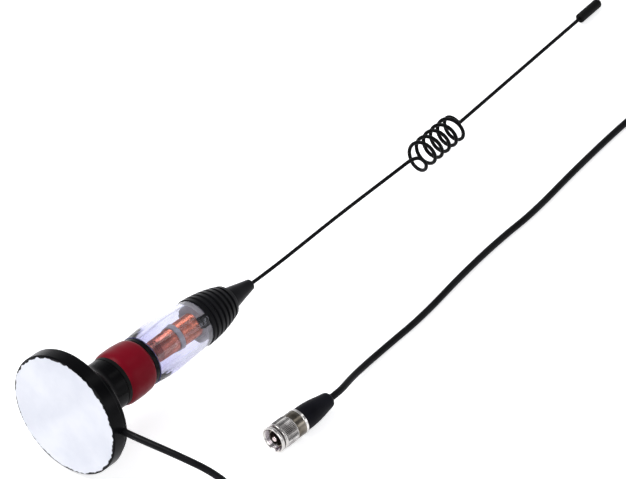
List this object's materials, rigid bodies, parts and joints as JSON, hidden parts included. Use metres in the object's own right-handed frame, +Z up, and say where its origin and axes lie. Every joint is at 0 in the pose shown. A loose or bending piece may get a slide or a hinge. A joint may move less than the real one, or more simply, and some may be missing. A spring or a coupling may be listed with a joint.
{
  "type": "cb antenna",
  "caption": "Magnetic-mount radio aerial: round magnet base, clear coil housing, whip with an open loading coil, and a coax lead ending in a screw-on plug.",
  "frame": {"origin": "centre of the magnet face, on the outside of its protective film", "axes": "+Z up from the surface it lies on; +X along the screw-on plug from its mouth to its cable, 3 degrees off the aerial's own length; the aerial slopes down 3.9 degrees towards its tip"},
  "size_m": [0.6201, 0.3559, 0.0904],
  "materials": {
    "film": "thin translucent protective film, faintly wavy",
    "steel": "zinc plated, dull",
    "ferrite": "sintered ferrite, dull dark grey",
    "plated": "tinned",
    "black_gloss": "glossy black moulding",
    "black_rubber": "soft black rubber",
    "copper": "bare or enamelled copper",
    "white_plastic": "off-white dielectric",
    "brass": "turned brass",
    "cable_jacket": "satin black cable jacket",
    "nickel": "bright nickel plating",
    "black_matt": "satin black plastic",
    "red": "glossy transparent-looking red",
    "clear": "clear moulded tube, smooth",
    "former": "pale former",
    "grey_plastic": "translucent grey",
    "black_wire": "black coated spring wire"
  },
  "bodies": {
    "base": {"protective_film": "film", "magnet_cup": "steel", "ring_magnet": "ferrite", "centre_pole": "steel", "clamp_bolt": "steel", "clamp_nut": "steel", "ground_tag": "plated", "base_shell": "black_gloss", "cable_grommet": "black_rubber", "core_lead": "copper", "braid_lead": "copper", "stud_insulator": "white_plastic", "contact_stud": "brass", "stud_nut": "steel", "coax_lead": "cable_jacket", "coax_coil": "cable_jacket", "coax_run": "cable_jacket", "connector_body": "nickel", "connector_insulator": "white_plastic", "centre_pin": "nickel", "cable_ferrule": "brass", "connector_boot": "black_matt"},
    "gasket": {"base_gasket": "black_rubber"},
    "radiator": {"socket_insert": "brass", "red_collar": "red", "lower_plug": "black_matt", "seal_ring": "black_gloss", "clear_tube": "clear", "coil_former": "former", "lower_winding": "copper", "separator_ring": "grey_plastic", "upper_winding": "copper", "top_plug": "grey_plastic", "ribbed_cap": "black_matt", "whip_ferrule": "brass", "whip_holder": "black_matt", "whip": "black_wire", "tip_cap": "black_matt"},
    "coupling_nut": {"coupling_ring": "nickel"}
  },
  "joints": [
    {"name": "radiator_lift", "type": "slide", "parent": "base", "child": "gasket", "axis": [0.9963, 0.0522, -0.0681], "range_m": [0, 0.0075]},
    {"name": "radiator_turn", "type": "hinge", "parent": "gasket", "child": "radiator", "pos_m": [0, 0, 0], "axis": [0.9963, 0.0522, -0.0681], "range_deg": [0, 1800]},
    {"name": "coupling_ring_spin", "type": "hinge", "parent": "base", "child": "coupling_nut", "pos_m": [0.1129, -0.0914, -0.03587], "axis": [1, 0, 0], "continuous": true}
  ],
  "couplings": [
    {"joint": "radiator_turn", "follows": "radiator_lift", "rad_per_m": 4188.8}
  ]
}
